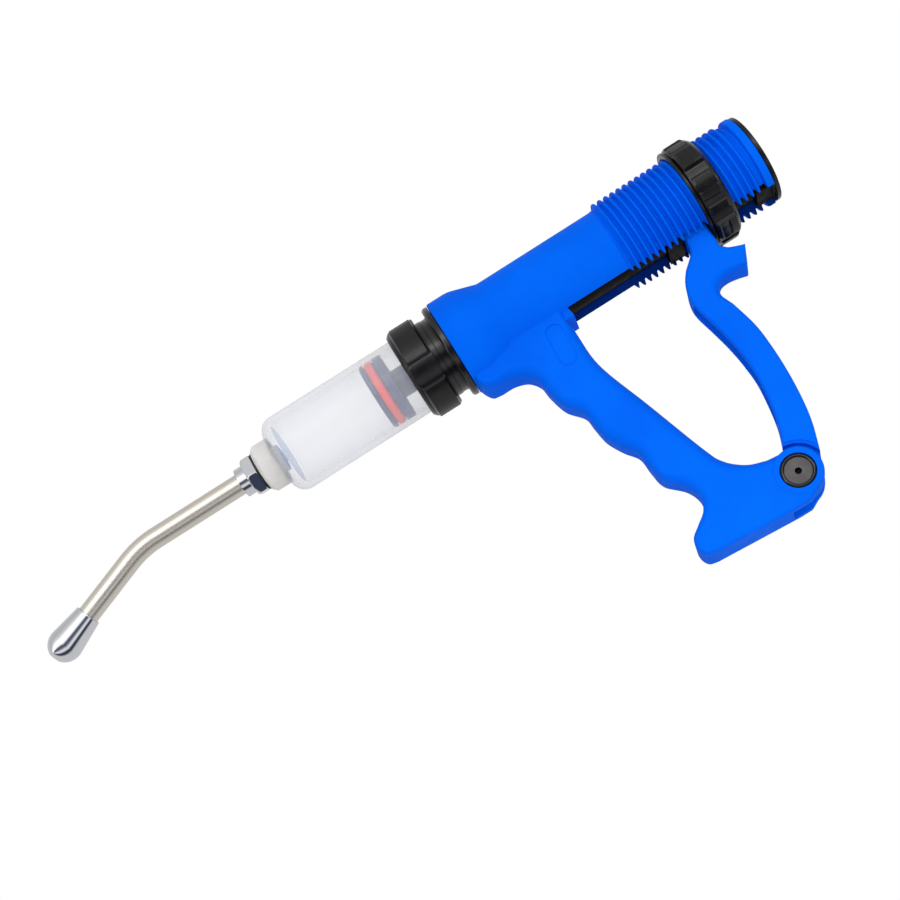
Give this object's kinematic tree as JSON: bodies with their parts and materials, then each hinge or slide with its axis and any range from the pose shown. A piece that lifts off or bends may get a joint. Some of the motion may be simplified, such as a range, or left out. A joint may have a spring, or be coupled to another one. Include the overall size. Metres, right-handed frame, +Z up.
{
  "type": "dosing syringe",
  "caption": "Pistol-grip dosing syringe for livestock: squeeze lever, clear barrel with piston, screwed dose nut and bent metal drencher tube with a rounded tip.",
  "frame": {"origin": "inside the fixed handle, at the middle of the hand's grip", "axes": "+X along the barrel towards the rear, +Z up from the handle to the barrel, +Y square to the plane of the handle and lever"},
  "size_m": [0.3896, 0.053, 0.176],
  "materials": {
    "blue_plastic": "satin",
    "black_plastic": "satin",
    "milky_plastic": "frosted",
    "white_plastic": "satin",
    "red_rubber": "smooth",
    "black_rubber": "smooth",
    "chrome": "polished",
    "nickel": "satin",
    "steel": "brushed"
  },
  "bodies": {
    "body": {"barrel": "milky_plastic", "barrel_gasket": "black_rubber", "barrel_nut": "black_plastic", "body_handle": "blue_plastic", "end_cap": "black_plastic", "front_adapter": "black_plastic", "hinge_cap": "black_plastic", "hinge_pin": "black_plastic", "nozzle_nut": "chrome", "nozzle_seal": "black_rubber", "nozzle_tip": "chrome", "nozzle_tube": "nickel", "outlet_valve_seat": "white_plastic", "outlet_valve_spring": "steel", "return_spring": "steel", "rod_guide": "white_plastic", "spring_washer": "steel"},
    "plunger": {"plunger_carrier": "black_plastic", "feed_rod": "steel", "rod_lock_nut": "steel", "hose_barb": "steel", "piston_head": "black_plastic", "piston_o_ring": "red_rubber", "inlet_valve_cage": "white_plastic", "inlet_valve_spring": "steel"},
    "lever": {"lever": "blue_plastic"},
    "dose_ring": {"dose_stop_ring": "black_plastic"},
    "dose_nut": {"dose_nut": "black_plastic"},
    "outlet_ball": {"outlet_valve_ball": "steel"},
    "inlet_ball": {"inlet_valve_ball": "steel"}
  },
  "joints": [
    {"name": "lever_squeeze", "type": "hinge", "parent": "body", "child": "lever", "pos_m": [0.0464, 0, -0.0584], "axis": [0, -1, 0], "range_deg": [0, 19], "stiffness_Nm_per_rad": 6, "springref_deg": -11.46},
    {"name": "plunger_slide", "type": "slide", "parent": "body", "child": "plunger", "axis": [-1, 0, 0], "range_m": [0, 0.046], "deforming": ["return_spring"]},
    {"name": "dose_travel", "type": "slide", "parent": "body", "child": "dose_ring", "axis": [1, 0, 0], "range_m": [0, 0.015]},
    {"name": "dose_turn", "type": "hinge", "parent": "dose_ring", "child": "dose_nut", "pos_m": [0.0852, 0, 0.078], "axis": [1, 0, 0], "range_deg": [0, 1637]},
    {"name": "outlet_ball_lift", "type": "slide", "parent": "body", "child": "outlet_ball", "axis": [-1, 0, 0], "range_m": [0, 0.0015], "stiffness_N_per_m": 30, "springref_m": -0.002, "deforming": ["outlet_valve_spring"]},
    {"name": "inlet_ball_lift", "type": "slide", "parent": "plunger", "child": "inlet_ball", "axis": [-1, 0, 0], "range_m": [0, 0.0012], "stiffness_N_per_m": 30, "springref_m": -0.002, "deforming": ["inlet_valve_spring"]}
  ],
  "couplings": [
    {"joint": "plunger_slide", "follows": "lever_squeeze", "m_per_rad": 0.13797},
    {"joint": "dose_turn", "follows": "dose_travel", "rad_per_m": 1904}
  ]
}
